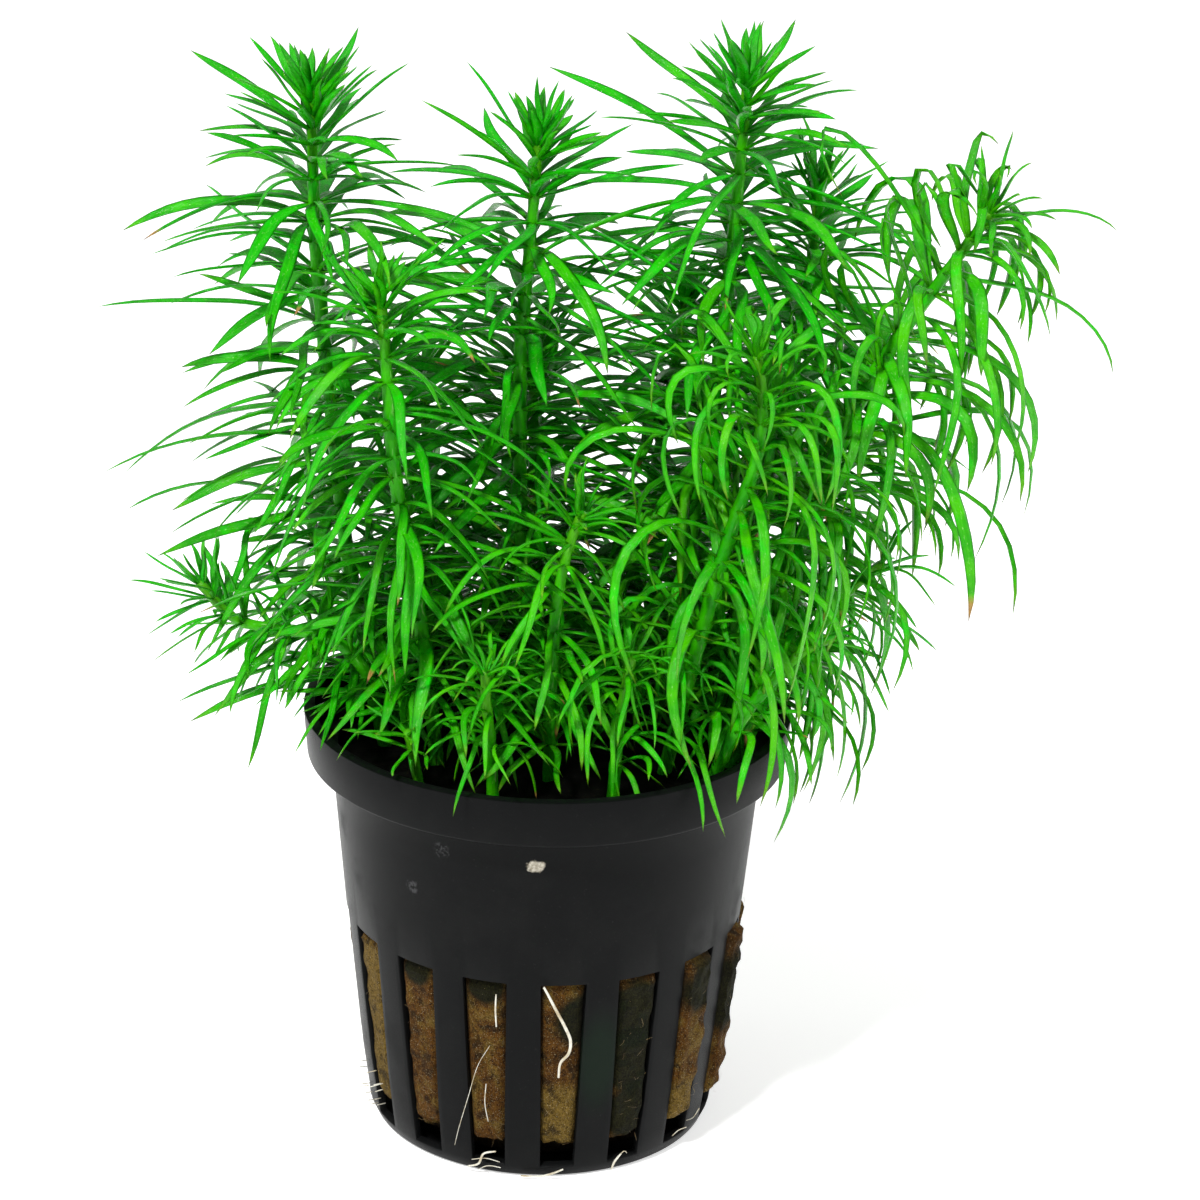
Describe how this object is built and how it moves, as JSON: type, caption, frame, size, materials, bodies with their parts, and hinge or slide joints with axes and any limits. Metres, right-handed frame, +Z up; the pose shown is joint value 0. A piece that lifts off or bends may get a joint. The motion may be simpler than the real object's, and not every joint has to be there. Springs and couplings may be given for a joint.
{
  "type": "potted pogostemon deccanensis",
  "caption": "Aquarium stem plant with whorls of narrow bright green leaves, in a slotted black net pot filled with mineral wool.",
  "frame": {"origin": "centre of the pot's underside", "axes": "+Z up along the pot's axis, -Y towards the pot's front, +X towards the side that the tall shoot leans to"},
  "size_m": [0.1103, 0.074, 0.1257],
  "materials": {
    "pot_plastic": "satin black moulded plastic",
    "wool": "wet brown mineral wool with dark green algae",
    "foliage": "glossy bright green leaves on olive green stems",
    "root": "smooth pale roots"
  },
  "bodies": {
    "root": {"pot": "pot_plastic", "wool_plug": "wool", "shoot_back_left": "foliage", "shoot_centre_left": "foliage", "shoot_tallest": "foliage", "shoot_right_leaning": "foliage", "shoot_front_left": "foliage", "shoot_front_right": "foliage", "shoot_low_left": "foliage", "shoot_centre_small": "foliage", "rosette_front": "foliage", "rosette_front_right": "foliage", "rosette_left_rim": "foliage", "shoot_low_right": "foliage", "rosette_right_rim": "foliage", "shoot_back_small": "foliage", "shoot_back_right": "foliage", "shoot_back_middle": "foliage", "shoot_back_low_left": "foliage", "rosette_back": "foliage", "rosette_back_right": "foliage", "rosette_back_left": "foliage", "root_main_slot": "root", "root_short_slot": "root", "root_over_rib": "root", "root_base_front": "root", "root_base_left": "root", "root_base_right": "root"}
  },
  "joints": []
}
